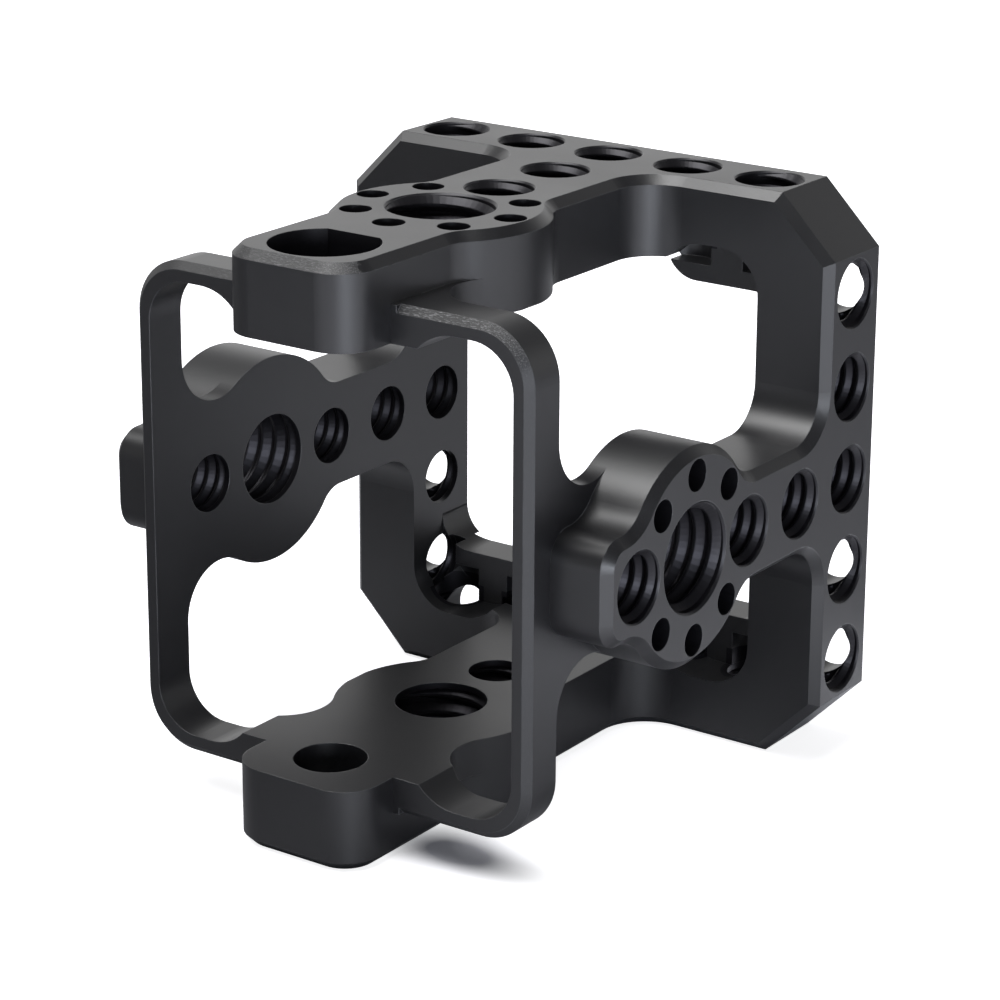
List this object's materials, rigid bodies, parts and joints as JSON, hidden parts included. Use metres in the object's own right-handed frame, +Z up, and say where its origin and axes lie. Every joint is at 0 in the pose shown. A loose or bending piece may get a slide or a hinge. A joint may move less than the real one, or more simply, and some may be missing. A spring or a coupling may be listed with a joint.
{
  "type": "camera cage",
  "caption": "Open metal cage for a small box camera: a square front ring, arms with threaded round pads, and a chamfered rear frame with rows of tapped holes.",
  "frame": {"origin": "under the middle of the cage, at the height of its flat underside", "axes": "+X to the right seen from the lens side, +Y from the front ring to the rear frame, +Z up"},
  "size_m": [0.052, 0.051, 0.052],
  "materials": {
    "anodised_frame": "satin black anodised over a fine bead-blasted surface"
  },
  "bodies": {
    "root": {"front_ring": "anodised_frame", "rear_frame": "anodised_frame", "top_arm": "anodised_frame", "bottom_arm": "anodised_frame", "left_arm": "anodised_frame", "right_arm": "anodised_frame", "top_screw_block": "anodised_frame", "bottom_screw_block": "anodised_frame", "rear_stop_top_left": "anodised_frame", "rear_stop_top_right": "anodised_frame", "rear_stop_bottom_left": "anodised_frame", "rear_stop_bottom_right": "anodised_frame"}
  },
  "joints": []
}
